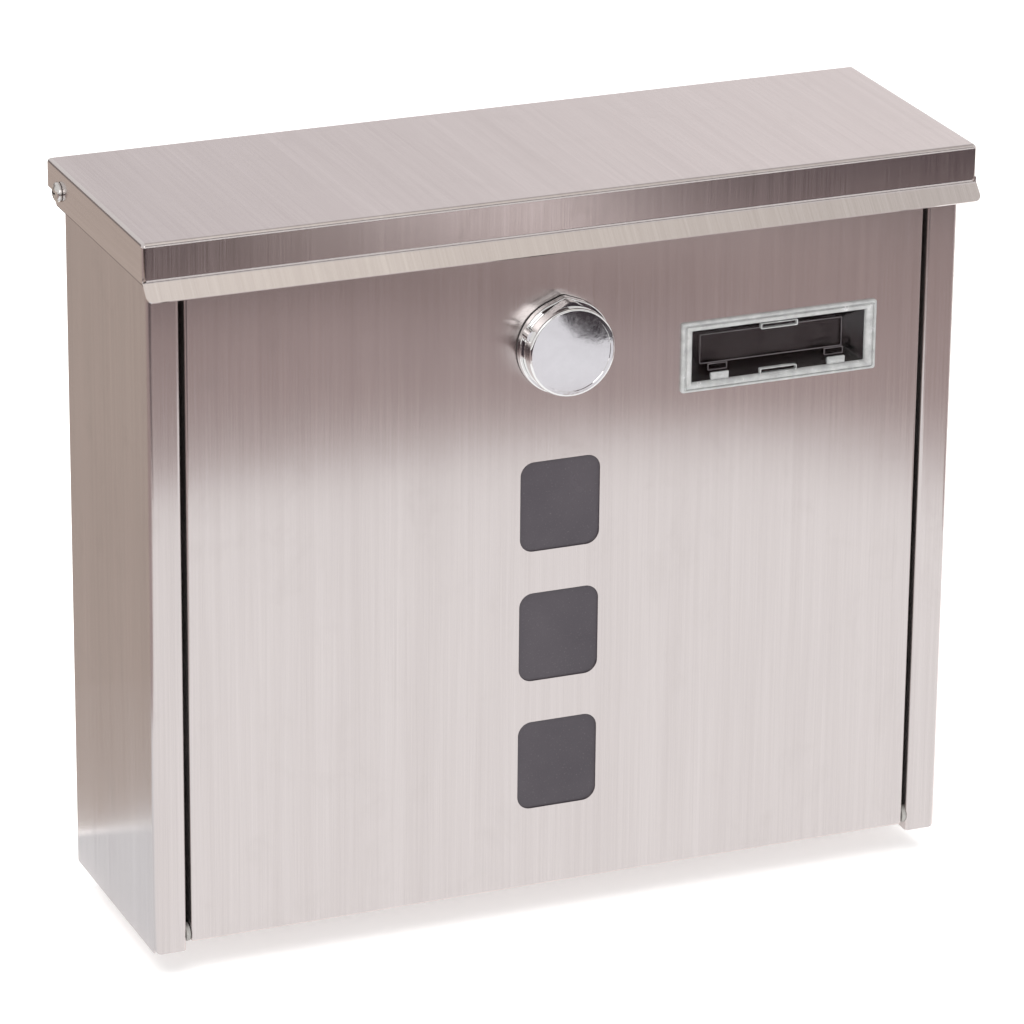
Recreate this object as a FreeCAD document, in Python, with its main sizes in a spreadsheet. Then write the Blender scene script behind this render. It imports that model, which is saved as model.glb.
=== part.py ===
import FreeCAD, Part
import math
import os
import re
import Sketcher

# Wall mounted mailbox of folded stainless steel, in millimetres.
# The sub-parts are drawn from the shell's front lower left corner: X to the right, Y towards the
# wall, Z up. Each one's Placement then moves the origin to the centre of the four wall holes, on
# the wall itself.

Vector = FreeCAD.Vector
Rotation = FreeCAD.Rotation
X_AXIS = Vector(1, 0, 0)
Y_AXIS = Vector(0, 1, 0)
Z_AXIS = Vector(0, 0, 1)

doc = FreeCAD.newDocument("wall_mailbox")
sheet = doc.addObject("Spreadsheet::Sheet", "Dims")

DIMENSIONS = (
    ("sheet", 0.8, "thickness of every folded steel sheet"),
    ("gap", 0.1, "play between faces that slide past each other"),
    ("play", 0.05, "radial play of a turning fit"),
    # shell
    ("body_width", 362, "shell, outside"),
    ("body_depth", 104, "shell, outside"),
    ("body_height", 315, "shell, to the top of its sides"),
    ("corner_bend", 2.2, "outer radius of the shell's upright bends"),
    ("edge_bend", 1.2, "outer radius of tight bends"),
    ("return_bend", 1.6, "outer radius of the flanges' inner bends"),
    ("flange_width", 14, "front flange on each side of the door"),
    ("flange_corner", 3, "rounded lower corners of the flanges"),
    ("return_depth", 10, "edge folded back beside the door"),
    # wall fixing
    ("wall_gap", 14, "thickness of a wall spacer"),
    ("hole_height", 160, "centre of the wall holes above the shell's bottom"),
    ("hole_spacing_x", 260, "wall holes, across"),
    ("hole_spacing_z", 190, "wall holes, up"),
    ("wall_hole_radius", 2.75, "for a 5 mm screw"),
    ("spacer_radius", 11, "wall spacer"),
    ("spigot_radius", 5, "wall spacer's neck in the back panel"),
    # lid
    ("lid_top", 316, "top face above the shell's bottom"),
    ("lid_side", 4, "overhang at each side"),
    ("lid_front", 7.6, "overhang at the front"),
    ("lid_rear", 10, "overhang at the back"),
    ("lid_flange", 17.2, "height of the side flanges"),
    ("lid_rear_flange", 12, "height of the rear flange"),
    ("lid_bend", 1.8, "outer radius of the lid's bends"),
    ("lip_top", 299.8, "crease above the drip lip"),
    ("lip_drop", 6.6, "drip lip, downwards"),
    ("lip_flare", 6.2, "drip lip, forwards"),
    ("lip_corner", 3, "rounded ends of the drip lip"),
    ("lid_cut_low", 13, "side flange's rear corner cut away, along its lower edge"),
    ("lid_cut_high", 6.5, "the same, at the height of the rear flange"),
    ("seam_width", 0.5, "open seam at each front corner"),
    ("relief_radius", 0.7, "relief hole below each seam"),
    ("pivot_y", 97, "lid pivot behind the shell's front"),
    ("pivot_z", 306, "lid pivot above the shell's bottom"),
    ("pivot_ear", 9, "radius of the shell's corner about the pivot"),
    ("pivot_screw_radius", 2, "lid pivot screw's shank"),
    ("pivot_screw_length", 9.6, "lid pivot screw's shank"),
    ("pivot_head_radius", 4.2, "lid pivot screw"),
    ("pivot_head_height", 2.7, "lid pivot screw"),
    ("pivot_sleeve_radius", 3, "bush that the lid turns on"),
    # door
    ("door_gap", 2.1, "between door and flange"),
    ("door_bottom", 3.3, "door's lower edge"),
    ("door_top", 291, "door's upper edge"),
    ("door_depth", 10, "door's folded edges"),
    ("hem_depth", 6.6, "door's lower folded edge"),
    ("hinge_y", 4, "door hinge behind the door's face"),
    ("hinge_z", 6.8, "door hinge above the shell's bottom"),
    ("hinge_radius", 2, "rivet's shank"),
    ("washer_radius", 3.9, "spacer washer beside the door"),
    # windows
    ("window_x", 181, "centre of the windows and of the lock"),
    ("window_width", 36, ""),
    ("window_height", 40, ""),
    ("window_corner", 6, ""),
    ("window_low", 59.9, "centre of the lowest window"),
    ("window_pitch", 58.8, ""),
    ("panel_width", 58, "smoked panel"),
    ("panel_height", 186, "smoked panel"),
    ("panel_thick", 2, "smoked panel"),
    ("stud_radius", 1.5, "welded stud that holds the panel"),
    ("stud_length", 6.5, ""),
    ("stud_inset_x", 5, "stud, from the panel's edge"),
    ("stud_inset_z", 6, "stud, from the panel's edge"),
    # name holder
    ("name_x", 279.8, "centre"),
    ("name_z", 234.9, "centre"),
    ("name_width", 89.8, "outside"),
    ("name_height", 30.7, "outside"),
    ("name_proud", 2, "rim in front of the door"),
    ("name_open_width", 79, "clear opening"),
    ("name_open_height", 21.6, "clear opening"),
    ("name_wall", 1.2, "moulded wall"),
    ("name_depth", 8, "tray behind the door's face"),
    ("name_step_x", 2, "rim's step, from its outer edge"),
    ("name_step_z", 1.6, "rim's step, from its outer edge"),
    ("cutout_play", 0.2, "between a moulding or barrel and its hole in the door"),
    # lock
    ("lock_z", 248, "lock above the shell's bottom"),
    ("base_radius", 20.5, "rosette"),
    ("base_thick", 3, "rosette"),
    ("gasket_thick", 0.8, ""),
    ("barrel_radius", 9.3, "threaded barrel"),
    ("barrel_length", 15.2, "barrel behind the door's face"),
    ("plug_radius", 6.5, ""),
    ("cover_radius", 19.2, "weather cover"),
    ("cover_thick", 7.4, "weather cover"),
    ("cover_pin_height", 17.8, "cover's pin above the lock's centre"),
    ("cover_pin_radius", 1.5, ""),
    ("base_ear_radius", 3.9, "rosette, about the cover's pin"),
    ("cover_ear_radius", 3.7, "cover, about its pin"),
    ("cover_ear_thick", 5.2, ""),
    ("cover_wall", 1.6, ""),
    ("cam_length", 45, "from the lock's centre"),
    ("cam_width", 16, ""),
    ("cam_thick", 2.5, ""),
    ("cam_square", 7, "squared end that drives the cam"),
    ("cam_corner", 4, "rounded corners of the cam's end"),
    ("stop_thick", 0.8, "stop washer under the cam"),
    ("wafer_pitch", 2.3, ""),
    ("wafer_thick", 1, ""),
    # inside
    ("floor_z", 2, "underside of the floor"),
    ("floor_front", 7.6, "floor's front edge behind the door's face"),
    ("floor_start", 10.5, "floor's upturned edges behind the door's face"),
    ("floor_rim", 12, "height of the floor's upturned edges"),
    ("hem_reach", 8, "width of the floor's hemmed front edge"),
    ("rail_y", 12.5, "front of the top rail"),
    ("rail_low", 282, "lower edge of the top rail"),
    ("rail_high", 300, "top of the top rail"),
    ("rail_depth", 11.5, "top rail, front to back"),
)
ALIASES = [row[0] for row in DIMENSIONS]

for line, (alias, value, note) in enumerate(DIMENSIONS, start=1):
    sheet.set("A%d" % line, str(value))
    sheet.setAlias("A%d" % line, alias)
    sheet.set("B%d" % line, note)
doc.recompute()


def dim(alias):
    """The sheet's value, for geometry that has no expression of its own."""
    return float(sheet.get(alias))


def bound(text):
    """The expression with each alias written as a cell of the sheet."""
    return re.sub(r"[a-z_]+", lambda found: "Dims." + found.group(0)
                  if found.group(0) in ALIASES else found.group(0), text)


# ---------------------------------------------------------------- placing

def place(part, x="0", y="0", z="0", rotation=None):
    """Puts a part's own zero at a point of the shell, in the frame of the wall holes."""
    part.Placement = FreeCAD.Placement(Vector(), rotation or Rotation())
    part.setExpression("Placement.Base.x", bound("(%s) - body_width / 2" % x))
    part.setExpression("Placement.Base.y", bound("(%s) - body_depth - wall_gap" % y))
    part.setExpression("Placement.Base.z", bound("(%s) - hole_height" % z))
    return part


# ---------------------------------------------------------------- PartDesign helpers

def new_body(label):
    body = doc.addObject("PartDesign::Body", label)
    body.Label = label
    body.AllowCompound = True
    return body


def sketch_on(body, name, role, offset="0"):
    sketch = body.newObject("Sketcher::SketchObject", name)
    plane = [item for item in body.Origin.OriginFeatures if item.Role == role][0]
    sketch.AttachmentSupport = [(plane, "")]
    sketch.MapMode = "FlatFace"
    sketch.setExpression("AttachmentOffset.Base.z", bound(offset))
    return sketch


def constrain(sketch, kind, first, first_point, second, second_point, text):
    number = sketch.addConstraint(
        Sketcher.Constraint(kind, first, first_point, second, second_point, 1.0))
    sketch.setExpression("Constraints[%d]" % number, bound(text))


def rectangle(sketch, left, low, width, height):
    """A rectangle whose corner and sides follow the sheet."""
    first = sketch.GeometryCount
    corners = (Vector(0, 0, 0), Vector(1, 0, 0), Vector(1, 1, 0), Vector(0, 1, 0))
    for side in range(4):
        sketch.addGeometry(Part.LineSegment(corners[side], corners[(side + 1) % 4]), False)
    for side in range(4):
        nxt = first + (side + 1) % 4
        sketch.addConstraint(Sketcher.Constraint("Coincident", first + side, 2, nxt, 1))
    for side, kind in enumerate(("Horizontal", "Vertical", "Horizontal", "Vertical")):
        sketch.addConstraint(Sketcher.Constraint(kind, first + side))
    constrain(sketch, "DistanceX", -1, 1, first, 1, left)
    constrain(sketch, "DistanceY", -1, 1, first, 1, low)
    constrain(sketch, "DistanceX", first, 1, first, 2, width)
    constrain(sketch, "DistanceY", first + 1, 1, first + 1, 2, height)


def circle(sketch, x, y, radius):
    """A circle whose centre and radius follow the sheet."""
    number = sketch.addGeometry(Part.Circle(Vector(0, 0, 0), Z_AXIS, 1), False)
    constrain(sketch, "DistanceX", -1, 1, number, 3, x)
    constrain(sketch, "DistanceY", -1, 1, number, 3, y)
    index = sketch.addConstraint(Sketcher.Constraint("Radius", number, 1.0))
    sketch.setExpression("Constraints[%d]" % index, bound(radius))


def outline(sketch, points):
    """A closed polygon; a point given as (middle, end) is reached by an arc through middle."""
    def end_of(point):
        return point[1] if isinstance(point[0], tuple) else point
    for number, point in enumerate(points):
        start = Vector(*end_of(points[number - 1]))
        if isinstance(point[0], tuple):
            edge = Part.Arc(start, Vector(*point[0]), Vector(*point[1]))
        else:
            edge = Part.LineSegment(start, Vector(*point))
        sketch.addGeometry(edge, False)


def pad(body, sketch, length, both_ways=False, backwards=False):
    feature = body.newObject("PartDesign::Pad", sketch.Name + "_pad")
    feature.Profile = sketch
    feature.setExpression("Length", bound(length))
    feature.SideType = "Symmetric" if both_ways else "One side"
    feature.FuzzyTolerance = 0
    feature.Reversed = backwards
    doc.recompute()
    return feature


def pocket(body, sketch, length, both_ways=True, backwards=False):
    """Cuts the sketch out of the body; it has to take material away."""
    before = body.Shape.Volume
    feature = body.newObject("PartDesign::Pocket", sketch.Name + "_pocket")
    feature.Profile = sketch
    feature.setExpression("Length", bound(length))
    feature.SideType = "Symmetric" if both_ways else "One side"
    feature.FuzzyTolerance = 0
    feature.Reversed = backwards
    doc.recompute()
    if not feature.Shape.Volume < before - 0.01:
        raise ValueError(feature.Name + " cuts nothing")
    return feature


def edges_of(shape, test):
    return ["Edge%d" % number for number, edge in enumerate(shape.Edges, start=1) if test(edge)]


def faces_of(shape, normal):
    """Flat faces that look along a direction."""
    names = []
    for number, face in enumerate(shape.Faces, start=1):
        flat = face.Surface.TypeId == "Part::GeomPlane"
        if flat and face.normalAt(0, 0).dot(normal) > 0.99:
            names.append("Face%d" % number)
    return names


def runs_along(edge, axis):
    """A straight edge, parallel to an axis."""
    if edge.Degenerated or edge.Curve.TypeId != "Part::GeomLine":
        return False
    return abs(abs(edge.Curve.Direction.dot(axis)) - 1) < 1e-6


def bend(body, test, radius):
    """Rounds the edges of the body's last feature that pass the test."""
    base = body.Tip
    names = edges_of(base.Shape, test)
    if not names:
        raise ValueError(body.Label + ": no edge to round")
    feature = body.newObject("PartDesign::Fillet", body.Label + "_bend")
    feature.Base = (base, names)
    feature.setExpression("Radius", bound(radius))
    doc.recompute()
    return feature


def hollow(body, normals):
    """Leaves the sheet's thickness inside a block, open on the faces that look along normals."""
    base = body.Tip
    names = [name for normal in normals for name in faces_of(base.Shape, normal)]
    feature = body.newObject("PartDesign::Thickness", body.Label + "_sheet")
    feature.Base = (base, names)
    feature.setExpression("Value", bound("sheet"))
    feature.Reversed = True
    doc.recompute()
    return feature


def turned(label, points):
    """A solid of revolution about its own Z axis, from (radius, height) points."""
    body = new_body(label)
    sketch = sketch_on(body, label + "_profile", "XZ_Plane")
    outline(sketch, [tuple(point) + (0,) for point in points])
    feature = body.newObject("PartDesign::Revolution", label + "_turned")
    feature.Profile = sketch
    feature.ReferenceAxis = (sketch, ["V_Axis"])
    feature.Angle = 360
    doc.recompute()
    return body


# ---------------------------------------------------------------- Part helpers

def box(name, x, y, z, length, width, height):
    part = doc.addObject("Part::Box", name)
    for key, text in zip(("Length", "Width", "Height"), (length, width, height)):
        part.setExpression(key, bound(text))
    for key, text in zip("xyz", (x, y, z)):
        part.setExpression("Placement.Base." + key, bound(text))
    return part


def rod(name, axis, x, y, z, radius, height):
    """A cylinder from (x, y, z) along an axis."""
    part = doc.addObject("Part::Cylinder", name)
    part.Placement = FreeCAD.Placement(Vector(), Rotation(Z_AXIS, axis))
    part.setExpression("Radius", bound(radius))
    part.setExpression("Height", bound(height))
    for key, text in zip("xyz", (x, y, z)):
        part.setExpression("Placement.Base." + key, bound(text))
    return part


def hexagon(name, x, y, z, across_flats, height, axis):
    """A hexagonal prism from (x, y, z) along an axis."""
    part = doc.addObject("Part::Prism", name)
    part.Polygon = 6
    part.Placement = FreeCAD.Placement(Vector(), Rotation(Z_AXIS, axis))
    part.setExpression("Circumradius", bound("(%s) / sqrt(3)" % across_flats))
    part.setExpression("Height", bound(height))
    for key, text in zip("xyz", (x, y, z)):
        part.setExpression("Placement.Base." + key, bound(text))
    return part


def cut(name, base, tool):
    part = doc.addObject("Part::Cut", name)
    part.Base = base
    part.Tool = tool
    return part


def fuse(name, shapes):
    part = doc.addObject("Part::MultiFuse", name)
    part.Shapes = shapes
    return part


def group(label, solids):
    """Identical separate solids in one node."""
    part = doc.addObject("Part::Compound", label)
    part.Label = label
    part.Links = solids
    return part


LEFT_RIGHT = (("left", -1), ("right", 1))


def mirrored_x(side, text):
    """The same distance from the shell's left or right side."""
    return text if side == "left" else "body_width - (%s)" % text


# ---------------------------------------------------------------- shell

def make_body_shell():
    body = new_body("body_shell")
    plan = sketch_on(body, "shell_plan", "XY_Plane")
    rectangle(plan, "0", "0", "body_width", "body_depth")
    pad(body, plan, "body_height")
    bend(body, lambda edge: runs_along(edge, Z_AXIS), "corner_bend")
    hollow(body, (Z_AXIS, -Z_AXIS))

    front = sketch_on(body, "door_opening", "XZ_Plane")
    rectangle(front, "flange_width", "-1", "body_width - 2 * flange_width", "body_height + 2")
    pocket(body, front, "4 * sheet")

    returns = sketch_on(body, "door_returns", "XY_Plane")
    rectangle(returns, "flange_width - sheet", "0", "sheet", "return_depth")
    rectangle(returns, "body_width - flange_width", "0", "sheet", "return_depth")
    pad(body, returns, "body_height")
    inner = dim("flange_width")
    width = dim("body_width")

    def return_edge(edge):
        middle = edge.CenterOfMass
        beside = min(abs(middle.x - inner), abs(middle.x - width + inner)) < 0.01
        return runs_along(edge, Z_AXIS) and beside and abs(middle.y) < 0.01
    bend(body, return_edge, "return_bend")

    # the flanges' lower outer corners are rounded
    radius = dim("flange_corner")
    near = radius * (1 - 0.5 ** 0.5)
    for side, sign in LEFT_RIGHT:
        def across(inset):
            return width / 2 + sign * (width / 2 - inset)
        corner = sketch_on(body, "flange_corner_" + side, "XZ_Plane", "1")
        outline(corner, ((across(-1), -1, 0), (across(-1), radius, 0), (across(0), radius, 0),
                         ((across(near), near, 0), (across(radius), 0, 0)),
                         (across(radius), -1, 0)))
        pocket(body, corner, "1 + corner_bend", both_ways=False)

    # rear top corners rounded about the lid's pivot, so that the lid swings past them
    ear = dim("pivot_ear")
    y = dim("pivot_y")
    z = dim("pivot_z")
    slope = ear / 2 ** 0.5
    crown = sketch_on(body, "rear_crown", "YZ_Plane", "body_width / 2")
    outline(crown, ((y, z + 2 * ear, 0), (y + 2 * ear, z + 2 * ear, 0),
                    (y + 2 * ear, z, 0), (y + ear, z, 0),
                    ((y + slope, z + slope, 0), (y, z + ear, 0))))
    pocket(body, crown, "body_width + 2")

    pivots = sketch_on(body, "pivot_holes", "YZ_Plane", "body_width / 2")
    circle(pivots, "pivot_y", "pivot_z", "pivot_screw_radius")
    pocket(body, pivots, "body_width + 2")

    hinges = sketch_on(body, "hinge_holes", "YZ_Plane", "body_width / 2")
    circle(hinges, "hinge_y", "hinge_z", "hinge_radius")
    pocket(body, hinges, "body_width - 2 * corner_bend - 6")

    wall = sketch_on(body, "wall_holes", "XZ_Plane", "-body_depth")
    for sign_x in ("-", "+"):
        for sign_z in ("-", "+"):
            circle(wall, "body_width / 2 %s hole_spacing_x / 2" % sign_x,
                   "hole_height %s hole_spacing_z / 2" % sign_z, "spigot_radius")
    pocket(body, wall, "4 * sheet")
    return place(body)


def make_floor_panel():
    """A tray with three upturned edges and a hemmed front edge that the opened door leans on."""
    body = new_body("floor_panel")
    plan = sketch_on(body, "floor_plan", "XY_Plane", "floor_z")
    rectangle(plan, "sheet", "floor_start", "body_width - 2 * sheet",
              "body_depth - floor_start - sheet")
    pad(body, plan, "floor_rim")
    bend(body, lambda edge: runs_along(edge, Z_AXIS), "corner_bend - sheet")
    hollow(body, (Z_AXIS,))
    front = sketch_on(body, "front_opening", "XZ_Plane", "-floor_start")
    rectangle(front, "2 * sheet", "floor_z + sheet", "body_width - 4 * sheet", "2 * floor_rim")
    pocket(body, front, "4 * sheet")
    tongue = sketch_on(body, "front_tongue", "XY_Plane", "floor_z")
    rectangle(tongue, "flange_width + door_gap", "floor_front",
              "body_width - 2 * (flange_width + door_gap)", "hem_reach")
    pad(body, tongue, "2 * sheet")
    return place(body)


def make_top_rail():
    """An angle across the opening, behind the door's top edge, welded to the sides by its ends."""
    body = new_body("top_rail")
    plan = sketch_on(body, "rail_plan", "XZ_Plane", "-rail_y")
    rectangle(plan, "sheet", "rail_low", "body_width - 2 * sheet", "rail_high - rail_low")
    pad(body, plan, "rail_depth", backwards=True)
    front_y = dim("rail_y")
    top_z = dim("rail_high")

    def front_edge(edge):
        middle = edge.CenterOfMass
        at_front = abs(middle.y - front_y) < 0.01 and abs(middle.z - top_z) < 0.01
        return runs_along(edge, X_AXIS) and at_front
    bend(body, front_edge, "edge_bend")
    hollow(body, (Y_AXIS, -Z_AXIS))
    return place(body)


def make_wall_spacers():
    neck = dim("spigot_radius")
    outer = dim("spacer_radius")
    bore = dim("wall_hole_radius")
    thick = dim("wall_gap")
    panel = dim("sheet")
    chamfer = 0.5
    barb = 0.9
    barb_length = 1.6
    neck_end = thick + panel
    tip = neck_end + barb_length
    solids = []
    for sign_x in ("-", "+"):
        for sign_z in ("-", "+"):
            spacer = turned("spacer", (
                (bore, 0), (outer - chamfer, 0), (outer, chamfer), (outer, thick - chamfer),
                (outer - chamfer, thick), (neck, thick), (neck, neck_end),
                (neck + barb, neck_end), (neck, tip), (bore, tip)))
            place(spacer, "body_width / 2 %s hole_spacing_x / 2" % sign_x,
                  "body_depth + wall_gap", "hole_height %s hole_spacing_z / 2" % sign_z,
                  Rotation(X_AXIS, 90))
            solids.append(spacer)
    return group("wall_spacers", solids)


# ---------------------------------------------------------------- lid

def bend_arc(corner, before, after, reach):
    """The start, middle and end of the arc that rounds a corner, in the plane of a sketch.

    before and after are unit vectors along the outline, and reach is the arc's distance from the
    corner along each of them."""
    start = [corner[axis] - before[axis] * reach for axis in (0, 1)]
    end = [corner[axis] + after[axis] * reach for axis in (0, 1)]
    turn = math.acos(sum(first * second for first, second in zip(before, after)))
    radius = reach / math.tan(turn / 2)
    inwards = [after[axis] - before[axis] for axis in (0, 1)]
    depth = radius / math.cos(turn / 2) - radius
    middle = [corner[axis] + inwards[axis] / math.hypot(*inwards) * depth for axis in (0, 1)]
    return [(*point, 0) for point in (start, middle, end)]


def make_lid():
    body = new_body("lid")
    plan = sketch_on(body, "lid_plan", "XY_Plane", "lid_top - lid_flange")
    rectangle(plan, "-lid_side", "-lid_front", "body_width + 2 * lid_side",
              "lid_front + body_depth + lid_rear")
    pad(body, plan, "lid_flange")
    top = dim("lid_top")
    bend(body, lambda edge: abs(edge.CenterOfMass.z - top) < 0.01
         or runs_along(edge, Z_AXIS), "lid_bend")
    hollow(body, (-Z_AXIS,))

    # the side flanges' lower rear corners are cut away, and the rear flange is shorter
    low = top - dim("lid_flange")
    back = dim("body_depth") + dim("lid_rear")
    short = top - dim("lid_rear_flange")
    rear = sketch_on(body, "rear_corner", "YZ_Plane", "body_width / 2")
    outline(rear, ((back + 1, low - 1, 0), (back + 1, short, 0),
                   (back - dim("lid_cut_high"), short, 0), (back - dim("lid_cut_low"), low, 0),
                   (back - dim("lid_cut_low"), low - 1, 0)))
    pocket(body, rear, "body_width + 2 * lid_side + 2")

    # drip lip: the front flange ends in a crease and flares forwards
    front = -dim("lid_front")
    crease = dim("lip_top")
    wall = dim("sheet")
    slant = math.hypot(dim("lip_flare"), dim("lip_drop"))
    down = (0, -1)
    along = (-dim("lip_flare") / slant, -dim("lip_drop") / slant)
    reach = 1.0
    half_turn = math.acos(-along[1]) / 2
    joined = crease + 2
    tip_y = front - dim("lip_flare")
    tip_z = crease - dim("lip_drop")
    back_y = -wall * along[1]
    back_z = wall * along[0]
    outer = bend_arc((front, crease), down, along, reach)
    inner = bend_arc((front + wall, crease - wall * math.tan(half_turn)),
                     (-along[0], -along[1]), (0, 1), reach + wall * math.tan(half_turn))
    lip = sketch_on(body, "drip_lip", "YZ_Plane", "body_width / 2")
    outline(lip, ((front, joined, 0), outer[0], (outer[1], outer[2]), (tip_y, tip_z, 0),
                  (tip_y + back_y, tip_z + back_z, 0), inner[0], (inner[1], inner[2]),
                  (front + wall, joined, 0)))
    pad(body, lip, "body_width + 2 * lid_side", both_ways=True)
    half = dim("body_width") / 2 + dim("lid_side")
    centre = dim("body_width") / 2

    def lip_end(edge):
        middle = edge.CenterOfMass
        at_tip = abs(middle.y - tip_y - back_y / 2) < 0.1 and abs(middle.z - tip_z - back_z / 2) < 0.1
        return at_tip and abs(abs(middle.x - centre) - half) < 0.01
    bend(body, lip_end, "lip_corner")

    # each front corner: an open seam between the flanges, down to a relief hole at the crease
    for side, sign in LEFT_RIGHT:
        corner = mirrored_x(side, "1 - lid_side")
        seam = sketch_on(body, "corner_seam_" + side, "XZ_Plane", "lid_front + 1")
        rectangle(seam, "%s - seam_width / 2" % corner, "lip_top + relief_radius", "seam_width",
                  "lid_top - lid_bend - lip_top - relief_radius")
        pocket(body, seam, "1 + 2 * sheet", both_ways=False)
        relief = sketch_on(body, "corner_relief_" + side, "XZ_Plane", "lid_front + 1")
        circle(relief, corner, "lip_top + relief_radius", "relief_radius")
        pocket(body, relief, "1 + 2 * sheet", both_ways=False)

    pivots = sketch_on(body, "lid_pivot_holes", "YZ_Plane", "body_width / 2")
    circle(pivots, "pivot_y", "pivot_z", "pivot_sleeve_radius + play")
    pocket(body, pivots, "body_width + 2 * lid_side + 2")
    return place(body)


def make_lid_pivot_screws():
    """Pan head, cross recess and a shank that ends in the nut."""
    shank = dim("pivot_screw_radius")
    under = dim("pivot_screw_length")
    radius = dim("pivot_head_radius")
    height = dim("pivot_head_height")
    solids = []
    for side, sign in LEFT_RIGHT:
        head = turned("pan_head", (
            (0, 0), (shank, 0), (shank, under), (radius, under),
            ((radius, under + 0.4 * height, 0), (0.86 * radius, under + 0.7 * height, 0)),
            ((0.45 * radius, under + 0.94 * height, 0), (0, under + height, 0))))
        recess = "pivot_screw_length + pivot_head_height / 2"
        slots = [box("recess", "-2.3", "-0.4", recess, "4.6", "0.8", "pivot_head_height"),
                 box("recess", "-0.4", "-2.3", recess, "0.8", "4.6", "pivot_head_height")]
        screw = cut("pivot_screw", head, fuse("cross", slots))
        turn = Rotation(Y_AXIS, 90 * sign)
        place(screw, mirrored_x(side, "pivot_screw_length - lid_side - 2 * gap"), "pivot_y",
              "pivot_z", turn)
        solids.append(screw)
    return group("lid_pivot_screws", solids)


def make_lid_pivot_bushes():
    """Nylon: a collar between the lid and the side, and a sleeve that the lid turns on."""
    bore = dim("pivot_screw_radius")
    sleeve = dim("pivot_sleeve_radius")
    collar = sleeve + 2
    collar_end = dim("lid_side") - dim("sheet") - dim("gap")
    sleeve_end = dim("lid_side") + 2 * dim("gap")
    solids = []
    for side, sign in LEFT_RIGHT:
        bush = turned("pivot_bush", ((bore, 0), (collar, 0), (collar, collar_end),
                                     (sleeve, collar_end), (sleeve, sleeve_end),
                                     (bore, sleeve_end)))
        place(bush, mirrored_x(side, "0"), "pivot_y", "pivot_z", Rotation(Y_AXIS, 90 * sign))
        solids.append(bush)
    return group("lid_pivot_bushes", solids)


def make_lid_pivot_nuts():
    solids = []
    for side, sign in LEFT_RIGHT:
        blank = hexagon("nut_blank", "0", "0", "0", "7", "3.2", Z_AXIS)
        nut = cut("pivot_nut", blank, rod("nut_bore", Z_AXIS, "0", "0", "-1",
                                          "pivot_screw_radius", "6"))
        place(nut, mirrored_x(side, "sheet"), "pivot_y", "pivot_z", Rotation(Y_AXIS, -90 * sign))
        solids.append(nut)
    return group("lid_pivot_nuts", solids)


# ---------------------------------------------------------------- door

def make_door_panel():
    body = new_body("door_panel")
    face = sketch_on(body, "door_face", "XZ_Plane")
    rectangle(face, "flange_width + door_gap", "door_bottom",
              "body_width - 2 * (flange_width + door_gap)", "door_top - door_bottom")
    pad(body, face, "door_depth", backwards=True)
    bend(body, lambda edge: abs(edge.CenterOfMass.y) < 0.01 or runs_along(edge, Y_AXIS),
         "edge_bend")
    wall = dim("sheet")
    tray = sketch_on(body, "door_inside", "XZ_Plane", "-sheet")
    rectangle(tray, "flange_width + door_gap + sheet", "door_bottom + sheet",
              "body_width - 2 * (flange_width + door_gap + sheet)",
              "door_top - door_bottom - 2 * sheet")
    pocket(body, tray, "door_depth", both_ways=False)
    inner_left = dim("flange_width") + dim("door_gap") + wall
    inner_right = dim("body_width") - inner_left

    def inner_edge(edge):
        middle = edge.CenterOfMass
        upright = runs_along(edge, Y_AXIS) and min(
            abs(middle.x - inner_left), abs(middle.x - inner_right)) < 0.01
        return upright or abs(middle.y - wall) < 0.01
    bend(body, inner_edge, "edge_bend - sheet")

    # lower edge folded back less far, so that it swings clear of the floor
    low = dim("door_bottom")
    hem = dim("hem_depth")
    depth = dim("door_depth")
    corner = sketch_on(body, "lower_corner", "YZ_Plane", "body_width / 2")
    slope_end = low + 4
    outline(corner, ((hem, low - 1, 0), (depth + 1, low - 1, 0), (depth + 1, slope_end, 0),
                     (depth, slope_end, 0), (hem, low + wall, 0)))
    pocket(body, corner, "body_width")

    windows = sketch_on(body, "windows", "XZ_Plane")
    for number in range(3):
        rectangle(windows, "window_x - window_width / 2",
                  "window_low + %d * window_pitch - window_height / 2" % number,
                  "window_width", "window_height")
    pocket(body, windows, "4 * sheet")
    left = dim("window_x") - dim("window_width") / 2
    right = left + dim("window_width")

    def window_edge(edge):
        middle = edge.CenterOfMass
        at_side = min(abs(middle.x - left), abs(middle.x - right)) < 0.01
        return runs_along(edge, Y_AXIS) and at_side and abs(edge.Length - wall) < 0.01
    bend(body, window_edge, "window_corner")

    cutouts = sketch_on(body, "door_cutouts", "XZ_Plane")
    circle(cutouts, "window_x", "lock_z", "barrel_radius + cutout_play")
    rectangle(cutouts, "name_x - name_open_width / 2 - name_wall - cutout_play",
              "name_z - name_open_height / 2 - name_wall - cutout_play",
              "name_open_width + 2 * (name_wall + cutout_play)",
              "name_open_height + 2 * (name_wall + cutout_play)")
    pocket(body, cutouts, "4 * sheet")

    hinges = sketch_on(body, "door_hinge_holes", "YZ_Plane", "body_width / 2")
    circle(hinges, "hinge_y", "hinge_z", "hinge_radius + play")
    pocket(body, hinges, "body_width")
    return place(body)


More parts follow.
